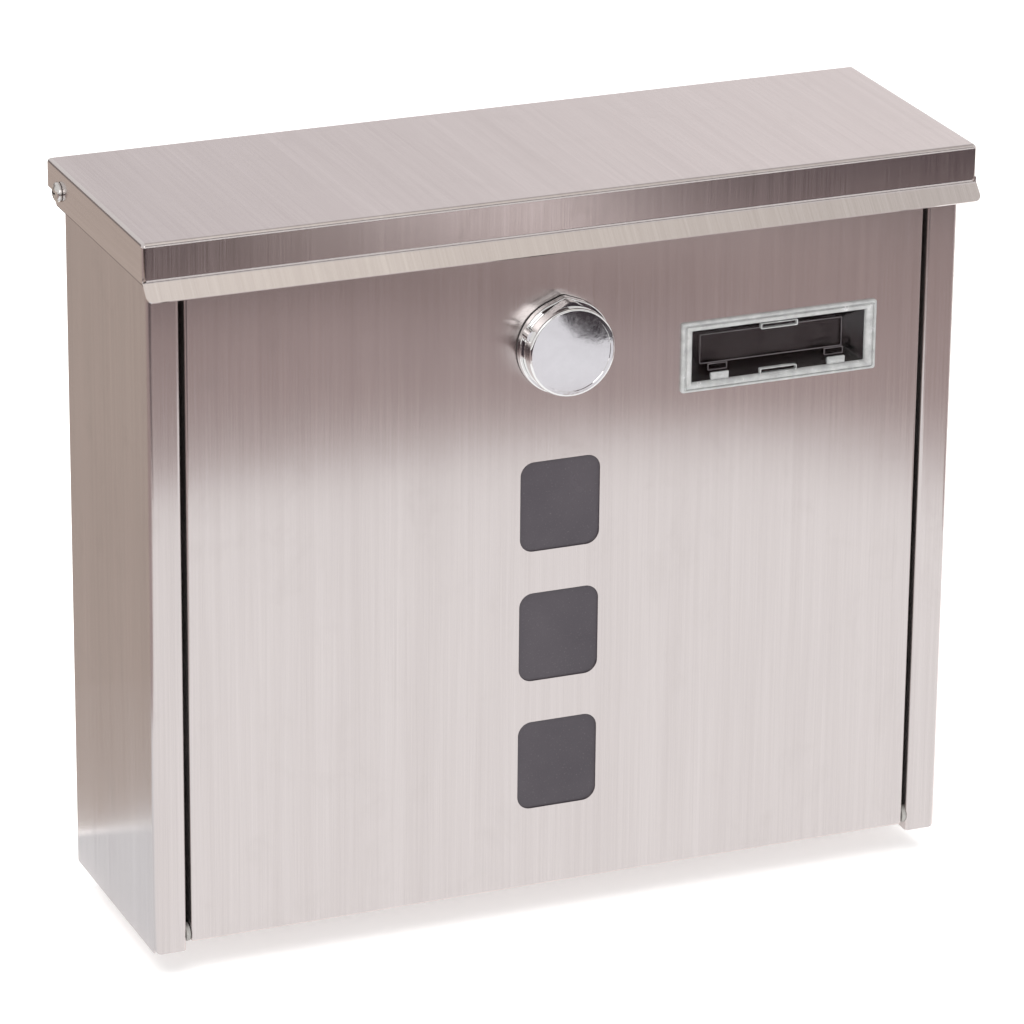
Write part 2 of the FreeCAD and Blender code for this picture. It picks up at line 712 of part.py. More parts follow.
def make_door_hinge_rivets():
    """Fixed in the shell's return; the door's folded edge turns on the shank."""
    shank = dim("hinge_radius")
    door_side = dim("door_gap") + 2 * dim("sheet") + 2 * dim("gap")
    head = 1.2
    closed = 0.9
    solids = []
    for side, sign in LEFT_RIGHT:
        rivet = turned("hinge_rivet", (
            (0, -head), (shank + 0.6, -head), (shank + 1, 0), (shank, 0), (shank, door_side),
            (shank + 0.55, door_side), (shank + 0.4, door_side + closed),
            (0, door_side + closed)))
        place(rivet, mirrored_x(side, "flange_width - sheet"), "hinge_y", "hinge_z",
              Rotation(Y_AXIS, -90 * sign))
        solids.append(rivet)
    return group("door_hinge_rivets", solids)


def make_door_spacer_washers():
    solids = []
    for side, sign in LEFT_RIGHT:
        ring = rod("spacer_ring", Z_AXIS, "0", "0", "0", "washer_radius", "door_gap - 4 * gap")
        washer = cut("spacer_washer", ring, rod("washer_bore", Z_AXIS, "0", "0", "-1",
                                                "hinge_radius", "6"))
        place(washer, mirrored_x(side, "flange_width"), "hinge_y", "hinge_z",
              Rotation(Y_AXIS, -90 * sign))
        solids.append(washer)
    return group("door_spacer_washers", solids)


STUD_PLACES = [("window_x %s (panel_width / 2 - stud_inset_x)" % sign_x,
                "window_low + window_pitch %s (panel_height / 2 - stud_inset_z)" % sign_z)
               for sign_x in "-+" for sign_z in "-+"]


def make_window_panel():
    blank = box("smoked_blank", "window_x - panel_width / 2", "sheet",
                "window_low + window_pitch - panel_height / 2", "panel_width", "panel_thick",
                "panel_height")
    holes = [rod("stud_hole", Y_AXIS, x, "0", z, "stud_radius + 2 * gap", "stud_length")
             for x, z in STUD_PLACES]
    panel = cut("window_panel", blank, fuse("stud_holes", holes))
    panel.Label = "window_panel"
    return place(panel)


def make_window_studs():
    studs = [place(rod("stud", Y_AXIS, "0", "0", "0", "stud_radius", "stud_length"), x, "sheet", z,
                   Rotation(Z_AXIS, Y_AXIS)) for x, z in STUD_PLACES]
    return group("window_studs", studs)


def make_window_push_nuts():
    """Domed spring washers pushed over the studs."""
    bore = dim("stud_radius")
    rim = bore + 3.1
    thick = 0.4
    nuts = []
    for x, z in STUD_PLACES:
        nut = turned("push_nut", (
            (bore, 0.9), (bore + 1.1, 0.5), (rim - 1, 0), (rim, 0), (rim, thick),
            (rim - 0.9, thick), (bore + 1.2, 0.5 + thick), (bore, 0.9 + thick)))
        nuts.append(place(nut, x, "sheet + panel_thick", z, Rotation(X_AXIS, -90)))
    return group("window_push_nuts", nuts)


def make_name_frame():
    """Clear moulding: a stepped rim in front of the door, a pane, and a tray behind it."""
    rim = box("rim", "-name_width / 2", "-name_proud", "-name_height / 2", "name_width",
              "name_proud", "name_height")
    tray = box("tray", "-name_open_width / 2 - name_wall", "-name_proud",
               "-name_open_height / 2 - name_wall", "name_open_width + 2 * name_wall",
               "name_proud + name_depth", "name_open_height + 2 * name_wall")
    solid = fuse("frame_solid", [rim, tray])
    window = box("window_recess", "-name_open_width / 2", "-name_proud - 1",
                 "-name_open_height / 2", "name_open_width", "name_proud + 0.4",
                 "name_open_height")
    inside = box("card_space", "-name_open_width / 2", "0.4", "-name_open_height / 2",
                 "name_open_width", "name_depth + 1", "name_open_height")
    step = cut("rim_step",
               box("step_outer", "-name_width", "-name_proud - 1", "-name_height", "2 * name_width",
                   "1.8", "2 * name_height"),
               box("step_inner", "name_step_x - name_width / 2", "-name_proud - 2",
                   "name_step_z - name_height / 2", "name_width - 2 * name_step_x", "4",
                   "name_height - 2 * name_step_z"))
    frame = cut("name_frame", solid, fuse("frame_cuts", [window, inside, step]))
    frame.Label = "name_frame"
    return place(frame, "name_x", "0", "name_z")


def make_name_back():
    """Clear back that clips over the tray, with hooks below and a tongue above and below."""
    back = box("back_plate", "-name_open_width / 2 - name_wall", "name_depth",
               "-name_open_height / 2 - name_wall", "name_open_width + 2 * name_wall",
               "name_wall", "name_open_height + 2 * name_wall")
    hooks = [box("hook", "%s * name_open_width / 3.05 - 4" % sign, "2", "-name_open_height / 2",
                 "8", "name_depth - 2", "1.2") for sign in ("-1", "1")]
    tongues = [box("tongue", "-8.5", "3", text, "17", "name_depth - 3", "1")
               for text in ("-name_open_height / 2", "name_open_height / 2 - 1")]
    part = fuse("name_back", [back] + hooks + tongues)
    part.Label = "name_back"
    return place(part, "name_x", "0", "name_z")


# ---------------------------------------------------------------- lock

def make_lock_gasket():
    ring = rod("gasket_disc", Y_AXIS, "0", "-gasket_thick", "0", "base_radius - 0.2",
               "gasket_thick")
    gasket = cut("lock_gasket", ring, rod("gasket_bore", Y_AXIS, "0", "-2", "0",
                                          "barrel_radius + 0.2", "4"))
    gasket.Label = "lock_gasket"
    return place(gasket, "window_x", "0", "lock_z")


def add_pin_ear(body, name, offset, disc, ear, length):
    """An ear about the cover's pin, with straight flanks that meet the disc smoothly."""
    lug = sketch_on(body, name, "XZ_Plane", offset)
    circle(lug, "0", "cover_pin_height", ear)
    pad(body, lug, length)
    lift = dim("cover_pin_height")
    turn = math.acos((dim(disc) - dim(ear)) / lift)
    low = (dim(disc) * math.sin(turn), dim(disc) * math.cos(turn))
    high = (dim(ear) * math.sin(turn), lift + dim(ear) * math.cos(turn))
    flanks = sketch_on(body, name + "_flanks", "XZ_Plane", offset)
    outline(flanks, ((-low[0], low[1], 0), (-high[0], high[1], 0), (high[0], high[1], 0),
                     (low[0], low[1], 0)))
    pad(body, flanks, length)


def make_lock_base():
    """Rosette with an ear for the cover's pin, and a threaded barrel with two flats."""
    body = new_body("lock_base")
    disc = sketch_on(body, "rosette", "XZ_Plane", "gasket_thick")
    circle(disc, "0", "0", "base_radius")
    pad(body, disc, "base_thick")
    add_pin_ear(body, "base_ear", "gasket_thick", "base_radius", "base_ear_radius", "base_thick")
    front_y = -dim("gasket_thick") - dim("base_thick")
    bend(body, lambda edge: abs(edge.CenterOfMass.y - front_y) < 0.01, "0.6")
    barrel = sketch_on(body, "barrel", "XZ_Plane", "gasket_thick")
    circle(barrel, "0", "0", "barrel_radius")
    pad(body, barrel, "barrel_length + gasket_thick", backwards=True)
    flats = sketch_on(body, "barrel_flats", "XZ_Plane", "-1.6")
    rectangle(flats, "barrel_radius - 1.3", "-barrel_radius - 1", "4", "2 * barrel_radius + 2")
    rectangle(flats, "-barrel_radius - 2.7", "-barrel_radius - 1", "4", "2 * barrel_radius + 2")
    pocket(body, flats, "20", both_ways=False)
    bore = sketch_on(body, "plug_bore", "XZ_Plane")
    circle(bore, "0", "0", "plug_radius + play")
    pocket(body, bore, "80")
    pin = sketch_on(body, "pin_hole", "XZ_Plane")
    circle(pin, "0", "cover_pin_height", "cover_pin_radius + play")
    pocket(body, pin, "20")
    peen = sketch_on(body, "peen_recess", "XZ_Plane", "gasket_thick")
    circle(peen, "0", "cover_pin_height", "2.7")
    pocket(body, peen, "2.4")
    return place(body, "window_x", "0", "lock_z")


def make_lock_nut():
    blank = hexagon("lock_nut_blank", "0", "0", "0", "24", "4", Z_AXIS)
    bore = rod("lock_nut_bore", Z_AXIS, "0", "0", "-1", "barrel_radius", "6")
    nut = cut("lock_nut", blank, bore)
    nut.Label = "lock_nut"
    return place(nut, "window_x", "sheet", "lock_z", Rotation(X_AXIS, -90))


WAFER_STEPS = range(5)


def wafer_start(number):
    return "1.5 + %d * wafer_pitch" % number


def make_lock_plug():
    """Keyway and five wafer slots, and a squared end that drives the cam."""
    front = rod("plug_body", Y_AXIS, "0", "-gasket_thick - base_thick", "0", "plug_radius",
                "gasket_thick + base_thick + barrel_length + 0.3")
    square = box("cam_square", "-cam_square / 2", "barrel_length", "-cam_square / 2", "cam_square",
                 "cam_thick + 1.5", "cam_square")
    keyway = box("keyway", "-1", "-gasket_thick - base_thick - 1", "-4.2", "2", "17.5", "8.4")
    slots = [box("wafer_slot", "-2.6", wafer_start(number), "-plug_radius - 1", "5.2",
                 "wafer_thick + 2 * gap", "2 * plug_radius + 2") for number in WAFER_STEPS]
    thread = rod("cam_thread", Y_AXIS, "0", "barrel_length - 1", "0", "1.9", "8")
    plug = cut("lock_plug", fuse("plug_solid", [front, square]),
               fuse("plug_cuts", [keyway, thread] + slots))
    plug.Label = "lock_plug"
    return place(plug, "window_x", "0", "lock_z")


def make_lock_wafers():
    """Brass wafers drawn back inside the plug, as with the key in."""
    wafers = []
    for number in WAFER_STEPS:
        plate = box("wafer_plate", "-2.5", "gap", "-5.8", "5", "wafer_thick", "11.6")
        window = box("wafer_window", "-1.5", "-1", "%g" % (-3.6 + 0.3 * (number % 3)), "3", "3",
                     "6.4")
        wafer = cut("wafer", plate, window)
        wafers.append(place(wafer, "window_x", wafer_start(number), "lock_z"))
    return group("lock_wafers", wafers)


def square_hole(name):
    return box(name, "-cam_square / 2", "-1", "-cam_square / 2", "cam_square", "8", "cam_square")


def make_cam_stop_washer():
    disc = rod("stop_disc", Y_AXIS, "0", "0", "0", "9", "stop_thick")
    tab = box("stop_tab", "-3", "0", "-11.5", "6", "stop_thick", "6")
    washer = cut("cam_stop_washer", fuse("stop_solid", [disc, tab]), square_hole("stop_square"))
    washer.Label = "cam_stop_washer"
    return place(washer, "window_x", "barrel_length + 0.3", "lock_z")


def make_lock_cam():
    """Lies across at rest, unlocked; a quarter turn brings its end up behind the rail."""
    hub = rod("cam_hub", Y_AXIS, "0", "0", "0", "cam_width / 2", "cam_thick")
    arm = box("cam_arm", "0", "0", "-cam_width / 2", "cam_length - cam_corner", "cam_thick",
              "cam_width")
    tip = box("cam_tip", "0", "0", "cam_corner - cam_width / 2", "cam_length", "cam_thick",
              "cam_width - 2 * cam_corner")
    rounds = [rod("cam_round", Y_AXIS, "cam_length - cam_corner", "0",
                  "%s (cam_width / 2 - cam_corner)" % sign, "cam_corner", "cam_thick")
              for sign in "-+"]
    cam = cut("lock_cam", fuse("cam_solid", [hub, arm, tip] + rounds), square_hole("cam_hole"))
    cam.Label = "lock_cam"
    return place(cam, "window_x", "barrel_length + stop_thick + 3 * gap", "lock_z")


def make_cam_screw():
    washer = rod("screw_washer", Y_AXIS, "0", "0", "0", "6", "0.8")
    head = hexagon("screw_head", "0", "0.8", "0", "7", "2.8", Y_AXIS)
    shank = rod("screw_shank", Y_AXIS, "0", "-5", "0", "1.9", "6")
    screw = fuse("cam_screw", [washer, head, shank])
    screw.Label = "cam_screw"
    return place(screw, "window_x", "barrel_length + cam_thick + 1.5", "lock_z")


def make_lock_cover():
    """A shallow cup with a raised rim, an ear at the top for its pin and a thumb tab."""
    body = new_body("lock_cover")
    disc = sketch_on(body, "cover_disc", "XZ_Plane", "gasket_thick + base_thick + 3 * gap")
    circle(disc, "0", "0", "cover_radius")
    pad(body, disc, "cover_thick")
    front_y = -dim("gasket_thick") - dim("base_thick") - 3 * dim("gap") - dim("cover_thick")
    bend(body, lambda edge: abs(edge.CenterOfMass.y - front_y) < 0.01, "1")
    add_pin_ear(body, "cover_ear", "gasket_thick + base_thick + 3 * gap", "cover_radius",
                "cover_ear_radius", "cover_ear_thick")
    tab = sketch_on(body, "thumb_tab", "XZ_Plane", "gasket_thick + base_thick + 3 * gap")
    circle(tab, "-cover_radius * cos(25) + 0.4", "cover_radius * sin(25)", "2.6")
    pad(body, tab, "cover_ear_thick")
    dish = sketch_on(body, "face_dish", "XZ_Plane",
                     "gasket_thick + base_thick + 3 * gap + cover_thick")
    circle(dish, "0", "0", "cover_radius - 2.2")
    pocket(body, dish, "0.6")
    inside = sketch_on(body, "cover_inside", "XZ_Plane", "gasket_thick + base_thick + 3 * gap")
    circle(inside, "0", "0", "cover_radius - cover_wall")
    pocket(body, inside, "9.6")
    boss = sketch_on(body, "pin_boss", "XZ_Plane", "gasket_thick + base_thick + 3 * gap")
    circle(boss, "0", "cover_pin_height", "cover_ear_radius - 3 * gap")
    pad(body, boss, "cover_ear_thick")
    pin = sketch_on(body, "cover_pin_hole", "XZ_Plane", "gasket_thick + base_thick + 3 * gap")
    circle(pin, "0", "cover_pin_height", "cover_pin_radius")
    pocket(body, pin, "8")
    return place(body, "window_x", "0", "lock_z")


def make_lock_cover_pin():
    """Pressed into the cover; its peened end turns in the rosette's ear."""
    pin = turned("lock_cover_pin", (
        (0, 0), (2.4, 0), (2.4, 0.9), (1.5, 0.9), (1.5, 7.2), (0, 7.2)))
    return place(pin, "window_x", "-gasket_thick - gap", "lock_z + cover_pin_height",
                 Rotation(X_AXIS, 90))


# ---------------------------------------------------------------- assembly

NODES = [
    make_body_shell(), make_floor_panel(), make_top_rail(), make_wall_spacers(),
    make_lid(), make_lid_pivot_screws(), make_lid_pivot_bushes(), make_lid_pivot_nuts(),
    make_door_panel(), make_door_hinge_rivets(), make_door_spacer_washers(),
    make_window_panel(), make_window_studs(), make_window_push_nuts(),
    make_name_frame(), make_name_back(),
    make_lock_gasket(), make_lock_base(), make_lock_nut(), make_lock_plug(),
    make_lock_wafers(), make_cam_stop_washer(), make_lock_cam(), make_cam_screw(),
    make_lock_cover(), make_lock_cover_pin(),
]
doc.recompute()

for item in doc.Objects:
    if "Invalid" in item.State or "Error" in item.State:
        raise ValueError("%s failed: %s" % (item.Name, item.State))
for node in NODES:
    if node.Shape.isNull() or not node.Shape.isValid():
        raise ValueError(node.Label + " has no valid shape")

os.makedirs("parts", exist_ok=True)
for node in NODES:
    node.Shape.exportStep(os.path.join("parts", node.Label + ".step"))
    limits = node.Shape.BoundBox
    print("%-20s %2d solids %9.0f mm3  x %.1f %.1f  y %.1f %.1f  z %.1f %.1f" % (
        node.Label, len(node.Shape.Solids), node.Shape.Volume, limits.XMin, limits.XMax,
        limits.YMin, limits.YMax, limits.ZMin, limits.ZMax))
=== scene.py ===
import math

import bmesh
import bpy
from mathutils import Matrix, Vector


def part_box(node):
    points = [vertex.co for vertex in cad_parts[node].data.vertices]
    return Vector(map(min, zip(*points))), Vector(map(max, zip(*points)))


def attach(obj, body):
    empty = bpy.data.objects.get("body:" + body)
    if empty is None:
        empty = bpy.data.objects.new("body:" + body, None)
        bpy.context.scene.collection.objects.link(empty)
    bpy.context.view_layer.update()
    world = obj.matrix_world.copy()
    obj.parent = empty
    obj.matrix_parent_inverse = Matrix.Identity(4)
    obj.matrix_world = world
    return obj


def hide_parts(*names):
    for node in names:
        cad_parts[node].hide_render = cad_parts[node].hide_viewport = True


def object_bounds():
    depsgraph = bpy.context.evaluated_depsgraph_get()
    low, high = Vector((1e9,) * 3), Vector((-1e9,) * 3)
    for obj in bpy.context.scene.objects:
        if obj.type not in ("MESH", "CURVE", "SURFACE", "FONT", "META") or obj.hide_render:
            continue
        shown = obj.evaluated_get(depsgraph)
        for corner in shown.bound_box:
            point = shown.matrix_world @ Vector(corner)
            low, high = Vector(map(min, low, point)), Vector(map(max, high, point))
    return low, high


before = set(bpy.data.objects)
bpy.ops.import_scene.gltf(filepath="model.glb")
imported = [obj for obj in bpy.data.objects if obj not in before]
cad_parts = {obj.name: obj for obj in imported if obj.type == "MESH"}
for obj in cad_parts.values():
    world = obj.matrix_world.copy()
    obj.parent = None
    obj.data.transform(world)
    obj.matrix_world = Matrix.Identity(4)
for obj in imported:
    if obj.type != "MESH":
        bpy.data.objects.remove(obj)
cad_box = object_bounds()

MM = 0.001


# ---------------------------------------------------------------- node helpers

class Shader:
    """A material's node tree, with short calls for the nodes that the finishes are made of."""

    def __init__(self, name):
        self.material = bpy.data.materials.new(name)
        self.material.use_nodes = True
        self.tree = self.material.node_tree
        self.surface = self.tree.nodes["Principled BSDF"]
        self.where = self.tree.nodes.new("ShaderNodeTexCoord").outputs["Object"]

    def set(self, **values):
        """Sets the surface's own inputs, with _ for each space in their names."""
        for key, value in values.items():
            self.surface.inputs[key.replace("_", " ")].default_value = value

    def link(self, output, target):
        """Links an output to a socket, or to the surface's input of that name."""
        self.tree.links.new(output, self.surface.inputs[target] if isinstance(target, str) else target)

    def faces_sideways(self):
        """1 on faces that look left or right, and 0 on the rest."""
        split = self.tree.nodes.new("ShaderNodeSeparateXYZ")
        self.link(self.where.node.outputs["Normal"], split.inputs["Vector"])
        return self.combine("GREATER_THAN", self.combine("ABSOLUTE", split.outputs["X"], 0.0), 0.7)

    def distance_from_height(self, height):
        """How far above or below a height each point is, in metres."""
        split = self.tree.nodes.new("ShaderNodeSeparateXYZ")
        self.link(self.where, split.inputs["Vector"])
        return self.combine("ABSOLUTE", self.combine("SUBTRACT", split.outputs["Z"], height), 0.0)

    def noise(self, scale, detail=3.0, roughness=0.55, offset=0.0, distortion=0.0):
        """Noise from 0 to 1. scale is its fineness per metre, as one number, as one for each of
        X, Y and Z, or as a socket."""
        node = self.tree.nodes.new("ShaderNodeTexNoise")
        node.inputs["Scale"].default_value = 1.0
        node.inputs["Detail"].default_value = detail
        node.inputs["Roughness"].default_value = roughness
        node.inputs["Distortion"].default_value = distortion
        mapping = self.tree.nodes.new("ShaderNodeMapping")
        if isinstance(scale, float):
            scale = (scale, scale, scale)
        if isinstance(scale, tuple):
            mapping.inputs["Scale"].default_value = scale
        else:
            self.link(scale, mapping.inputs["Scale"])
        mapping.inputs["Location"].default_value = (offset, offset, offset)
        self.link(self.where, mapping.inputs["Vector"])
        self.link(mapping.outputs["Vector"], node.inputs["Vector"])
        return node.outputs["Fac"]

    def ramp(self, value, low, high, start=0.3, end=0.7):
        """Maps a noise value, from start to end, onto low to high."""
        node = self.tree.nodes.new("ShaderNodeMapRange")
        node.inputs["From Min"].default_value = start
        node.inputs["From Max"].default_value = end
        node.inputs["To Min"].default_value = low
        node.inputs["To Max"].default_value = high
        self.link(value, node.inputs["Value"])
        return node.outputs["Result"]

    def combine(self, kind, first, second):
        """One step of arithmetic on two numbers or sockets."""
        node = self.tree.nodes.new("ShaderNodeMath")
        node.operation = kind
        for value, socket in zip((first, second), node.inputs):
            if isinstance(value, (int, float)):
                socket.default_value = value
            else:
                self.link(value, socket)
        return node.outputs["Value"]

    def add(self, *values):
        """The sum of numbers or sockets."""
        total = values[0]
        for value in values[1:]:
            total = self.combine("ADD", total, value)
        return total

    def times(self, value, factor):
        return self.combine("MULTIPLY", value, factor)

    def mix(self, factor, first, second):
        """A colour between two colours or sockets, by a factor from 0 to 1."""
        node = self.tree.nodes.new("ShaderNodeMix")
        node.data_type = "RGBA"
        self.link(factor, node.inputs["Factor"])
        for value, socket in ((first, node.inputs["A"]), (second, node.inputs["B"])):
            if isinstance(value, tuple):
                socket.default_value = (*value, 1.0)
            else:
                self.link(value, socket)
        return node.outputs["Result"]

    def colour(self, value, dark, light):
        """Base colour that goes from dark to light with a noise value."""
        self.link(self.mix(self.ramp(value, 0.0, 1.0), dark, light), "Base Color")

    def bump(self, height, strength, distance):
        """Fine relief, distance deep in metres."""
        node = self.tree.nodes.new("ShaderNodeBump")
        node.inputs["Strength"].default_value = strength
        node.inputs["Distance"].default_value = distance
        self.link(height, node.inputs["Height"])
        self.link(node.outputs["Normal"], "Normal")


# ---------------------------------------------------------------- materials

STEEL_DARK = (0.610, 0.556, 0.545)
STEEL_LIGHT = (0.700, 0.647, 0.636)
STEEL_SMUDGE = (0.50, 0.45, 0.43)
# Dark colour of a painted line of shade along the lower edge of the lid's side flanges.
EDGE_PAINTED_SHADE = (0.16, 0.13, 0.12)
EDGE_HALF_WIDTH = 0.3 * MM
GRAIN_ACROSS = 2400.0
GRAIN_ALONG = 14.0
STREAK_ACROSS = GRAIN_ACROSS / 6
STREAK_ALONG = GRAIN_ALONG / 3
AXIS = {"X": (1.0, 0.0, 0.0), "Y": (0.0, 1.0, 0.0), "Z": (0.0, 0.0, 1.0)}


def brushed_steel(name, front, sides, blur, directed, shade_line_height=None):
    """Stainless sheet: fine brushed lines, broader streaks and faint handling marks.

    front gives the axes that the lines run along and the axis across them, and sides gives both
    for the faces that look left or right. The sheet blurs what it mirrors by blur, and by more
    across the lines: directed says how much more. The last argument is the height of a thin dark
    line of painted shade on the faces that look left or right, along the lid flanges' lower edge."""
    shader = Shader(name)
    sideways = shader.faces_sideways()

    def scales(axes, across, along):
        return tuple(along if axis in axes else across for axis in "XYZ")

    def lines(across, along, detail, offset):
        scale = shader.mix(sideways, scales(front[0], across, along), scales(sides[0], across, along))
        return shader.noise(scale, detail, 0.65, offset)

    fine = lines(GRAIN_ACROSS, GRAIN_ALONG, 4.0, 0.0)
    streak = lines(STREAK_ACROSS, STREAK_ALONG, 3.0, 3.7)
    broad = lines(60.0, 3.0, 2.0, 9.1)
    cloud = shader.noise(14.0, 4.0, 0.5, 5.3)
    smudge = shader.noise((55.0, 55.0, 40.0), 5.0, 0.6, 1.9, 0.6)
    tone = shader.add(shader.times(fine, 0.45), shader.times(streak, 0.3), shader.times(broad, 0.25))
    colour = shader.mix(shader.ramp(tone, 0.0, 1.0, 0.35, 0.65), STEEL_DARK, STEEL_LIGHT)
    colour = shader.mix(shader.ramp(smudge, 0.0, 0.14, 0.55, 0.8), colour, STEEL_SMUDGE)
    # Painted shade: a thin dark line along the lower edge of the lid's side flanges, for the shade there.
    if shade_line_height is not None:
        near = shader.combine("LESS_THAN", shader.distance_from_height(shade_line_height), EDGE_HALF_WIDTH)
        colour = shader.mix(shader.times(near, sideways), colour, EDGE_PAINTED_SHADE)
    shader.link(colour, "Base Color")
    rough = shader.add(shader.ramp(fine, blur - 0.03, blur + 0.04), shader.ramp(cloud, -0.01, 0.02),
                       shader.ramp(smudge, 0.0, 0.03, 0.55, 0.8))
    shader.link(rough, "Roughness")
    shader.link(shader.mix(sideways, AXIS[front[1]], AXIS[sides[1]]), "Tangent")
    shader.set(Metallic=1.0, Anisotropic=directed)
    shader.bump(shader.add(fine, shader.times(streak, 0.6)), 0.10, 0.03 * MM)
    return shader.material


def chrome():
    """Mirror plating with a faint haze from handling."""
    shader = Shader("chrome")
    haze = shader.noise(90.0, 5.0, 0.6)
    fine = shader.noise(900.0, 3.0, 0.5, 2.0)
    shader.colour(haze, (0.80, 0.79, 0.785), (0.90, 0.895, 0.89))
    rough = shader.add(shader.ramp(haze, 0.02, 0.06, 0.4, 0.75), shader.ramp(fine, 0.0, 0.02))
    shader.link(rough, "Roughness")
    shader.set(Metallic=1.0)
    shader.bump(haze, 0.05, 0.2 * MM)
    return shader.material


def plated(name, dark, light, rough):
    """A plated or turned small metal piece, with a mottled finish."""
    shader = Shader(name)
    mottle = shader.noise(500.0, 4.0, 0.6)
    grain = shader.noise((2500.0, 2500.0, 300.0), 2.0, 0.5, 4.0)
    shader.colour(mottle, dark, light)
    shader.link(shader.add(shader.ramp(mottle, rough, rough + 0.12), shader.ramp(grain, -0.03, 0.03)),
                "Roughness")
    shader.set(Metallic=1.0)
    shader.bump(grain, 0.15, 0.03 * MM)
    return shader.material


def smoked_plastic():
    """Dark smooth sheet with a thin film and a little dust."""
    shader = Shader("smoked_plastic")
    film = shader.noise(25.0, 4.0, 0.6)
    dust = shader.noise(1400.0, 2.0, 0.5, 7.0)
    colour = shader.mix(shader.ramp(film, 0.0, 1.0), (0.048, 0.040, 0.050), (0.066, 0.056, 0.067))
    colour = shader.mix(shader.ramp(dust, 0.0, 0.35, 0.62, 0.72), colour, (0.17, 0.155, 0.165))
    shader.link(colour, "Base Color")
    shader.link(shader.ramp(film, 0.16, 0.28), "Roughness")
    shader.set(IOR=1.49)
    shader.bump(dust, 0.05, 0.02 * MM)
    return shader.material


def clear_plastic():
    """Clear moulding with faint flow lines."""
    shader = Shader("clear_plastic")
    flow = shader.noise((120.0, 40.0, 120.0), 3.0, 0.5)
    dust = shader.noise(1600.0, 2.0, 0.5, 7.0)
    shader.colour(flow, (0.62, 0.52, 0.56), (0.72, 0.62, 0.66))
    shader.link(shader.add(shader.ramp(flow, 0.05, 0.12), shader.ramp(dust, 0.0, 0.05)), "Roughness")
    shader.set(IOR=1.36, Transmission_Weight=1.0)
    shader.bump(flow, 0.06, 0.4 * MM)
    return shader.material


def part_clear_plastic(name, dark, light):
    """Thick edges of the clear moulding, part clear. A pale colour on them is painted highlight, for the
    light that the clear edges catch.
    """
    shader = Shader(name)
    flow = shader.noise((260.0, 90.0, 260.0), 4.0, 0.6)
    edge = shader.noise((1500.0, 600.0, 1500.0), 3.0, 0.6, 5.0)
    shader.colour(flow, dark, light)
    shader.link(shader.add(shader.ramp(flow, 0.12, 0.24), shader.ramp(edge, 0.0, 0.06)), "Roughness")
    shader.set(IOR=1.49, Transmission_Weight=0.35)
    shader.bump(shader.add(flow, edge), 0.20, 0.2 * MM)
    return shader.material


def moulded(name, dark, light, rough):
    """Opaque moulded plastic or rubber with a fine spark-eroded texture."""
    shader = Shader(name)
    mottle = shader.noise(60.0, 4.0, 0.6)
    grain = shader.noise(3200.0, 2.0, 0.5, 2.0)
    shader.colour(mottle, dark, light)
    shader.link(shader.ramp(mottle, rough - 0.06, rough + 0.08), "Roughness")
    shader.bump(grain, 0.25, 0.05 * MM)
    return shader.material


LID_FLANGE = 17.2 * MM
# Height of the lid flanges' lower edge, where the steel gets a painted line of shade.
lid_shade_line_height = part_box("lid")[1].z - LID_FLANGE
upright_steel = brushed_steel("steel_upright_grain", ("Z", "X"), ("Z", "Y"), 0.20, 1.0)
level_steel = brushed_steel("steel_level_grain", ("X", "Y"), ("Y", "Z"), 0.24, 0.8)
lid_steel = brushed_steel("steel_lid_grain", ("YZ", "X"), ("Y", "Z"), 0.15, 0.5, lid_shade_line_height)
chrome_plate = chrome()
bright_steel = plated("bright_steel", (0.60, 0.58, 0.56), (0.80, 0.78, 0.76), 0.16)
zinc_steel = plated("zinc_steel", (0.50, 0.50, 0.49), (0.68, 0.68, 0.66), 0.30)
brass = plated("brass", (0.55, 0.36, 0.13), (0.80, 0.58, 0.26), 0.26)
smoked = smoked_plastic()
clear = clear_plastic()
# Pale colour painted on the rim, hooks and tabs as the highlights that their clear edges catch.
pale_plastic_painted_highlight = part_clear_plastic("part_clear_plastic", (0.50, 0.51, 0.51), (0.74, 0.75, 0.75))
smoky = part_clear_plastic("smoky_plastic", (0.14, 0.12, 0.13), (0.24, 0.21, 0.22))
nylon = moulded("nylon", (0.30, 0.29, 0.28), (0.40, 0.39, 0.37), 0.48)
rubber = moulded("rubber", (0.018, 0.018, 0.019), (0.035, 0.034, 0.034), 0.62)

FINISH = {
    "body_shell": upright_steel, "floor_panel": level_steel, "top_rail": upright_steel,
    "door_panel": upright_steel, "lid": lid_steel,
    "lock_base": chrome_plate, "lock_cover": chrome_plate,
    "lid_pivot_screws": bright_steel, "door_hinge_rivets": bright_steel,
    "lock_cover_pin": bright_steel, "window_studs": bright_steel,
    "lid_pivot_nuts": zinc_steel, "lock_nut": zinc_steel, "cam_stop_washer": zinc_steel,
    "lock_cam": zinc_steel, "cam_screw": zinc_steel, "window_push_nuts": zinc_steel,
    "lock_plug": brass, "lock_wafers": brass,
    "window_panel": smoked, "name_frame": clear, "name_back": clear,
    "lid_pivot_bushes": nylon, "door_spacer_washers": nylon, "wall_spacers": nylon,
    "lock_gasket": rubber,
}

for node_name, finish in FINISH.items():
    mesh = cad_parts[node_name].data
    mesh.materials.clear()
    mesh.materials.append(finish)


# ---------------------------------------------------------------- name holder

def make_object(name, built):
    """Puts a finished bmesh into the scene as an object."""
    mesh = bpy.data.meshes.new(name)
    built.to_mesh(mesh)
    built.free()
    item = bpy.data.objects.new(name, mesh)
    bpy.context.scene.collection.objects.link(item)
    return item


CORNER_STEPS = 4
SHARP_ANGLE = math.radians(35)


